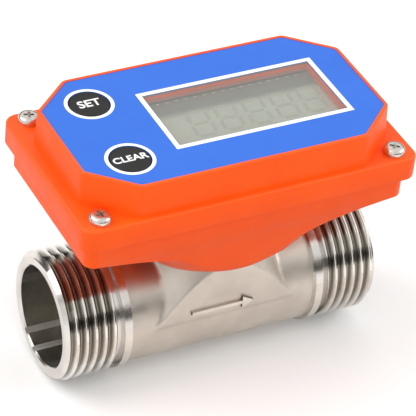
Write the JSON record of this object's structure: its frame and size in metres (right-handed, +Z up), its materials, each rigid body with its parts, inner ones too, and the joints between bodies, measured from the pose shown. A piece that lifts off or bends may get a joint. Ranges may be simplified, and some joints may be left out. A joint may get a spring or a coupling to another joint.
{
  "type": "turbine flow meter",
  "caption": "In-line turbine flow meter: male-threaded steel pipe body with a helical-bladed rotor, under a rectangular plastic display housing with a window and two push keys.",
  "frame": {"origin": "centre of the inlet sealing face, on the flow axis", "axes": "+X along the flow axis from inlet to outlet, +Z up towards the display, -Y towards the person who reads it"},
  "size_m": [0.0901, 0.05, 0.07],
  "materials": {
    "stainless_casting": "bead-blasted and machined stainless steel",
    "turbine_plastic": "natural white fluoropolymer",
    "bearing_plastic": "graphite-filled polymer bush",
    "shaft_steel": "ground tungsten carbide or steel pin",
    "magnet": "nickel-plated magnet",
    "seal_rubber": "black nitrile rubber",
    "orange_housing": "injection-moulded ABS, satin",
    "screw_steel": "stainless pan-head cross-recess screws",
    "blue_film": "printed polyester film, satin gloss",
    "clear_window": "clear acrylic pane",
    "black_key": "moulded key, satin",
    "switch_black": "moulded switch body",
    "switch_plunger": "moulded plunger",
    "board_green": "glass-fibre board with green resist",
    "lcd_glass": "reflective liquid-crystal cell",
    "tinned_pins": "tinned clips",
    "chip_black": "moulded epoxy",
    "crystal_can": "nickel can",
    "connector_white": "moulded nylon",
    "holder_black": "moulded tray",
    "cell_sleeve": "plain printed steel can",
    "contact_steel": "nickel-plated leaf",
    "capsule_black": "potted nylon cup",
    "lead_sheath": "black PVC sheath"
  },
  "bodies": {
    "meter": {"flow_body": "stainless_casting", "inlet_straightener": "turbine_plastic", "outlet_straightener": "turbine_plastic", "inlet_bearing": "bearing_plastic", "outlet_bearing": "bearing_plastic", "neck_gasket": "seal_rubber", "housing_base": "orange_housing", "cover_gasket": "seal_rubber", "housing_cover": "orange_housing", "cover_screws": "screw_steel", "front_overlay": "blue_film", "display_window": "clear_window", "set_switch": "switch_black", "clear_switch": "switch_black", "circuit_board": "board_green", "lcd_glass": "lcd_glass", "lcd_pins": "tinned_pins", "controller_chip": "chip_black", "quartz_crystal": "crystal_can", "sensor_connector": "connector_white", "battery_holder": "holder_black", "battery_cells": "cell_sleeve", "battery_contacts": "contact_steel", "sensor_capsule": "capsule_black", "hall_sensor": "chip_black", "sensor_lead": "lead_sheath"},
    "turbine": {"rotor": "turbine_plastic", "rotor_shaft": "shaft_steel", "rotor_magnets": "magnet"},
    "set_button": {"set_key": "black_key", "set_switch_plunger": "switch_plunger"},
    "clear_button": {"clear_key": "black_key", "clear_switch_plunger": "switch_plunger"}
  },
  "joints": [
    {"name": "rotor_spin", "type": "hinge", "parent": "meter", "child": "turbine", "pos_m": [0.04315, 0, 0], "axis": [1, 0, 0], "continuous": true},
    {"name": "set_key_press", "type": "slide", "parent": "meter", "child": "set_button", "axis": [0, 0, -1], "range_m": [0, 0.0004], "stiffness_N_per_m": 1000},
    {"name": "clear_key_press", "type": "slide", "parent": "meter", "child": "clear_button", "axis": [0, 0, -1], "range_m": [0, 0.0004], "stiffness_N_per_m": 1000}
  ]
}
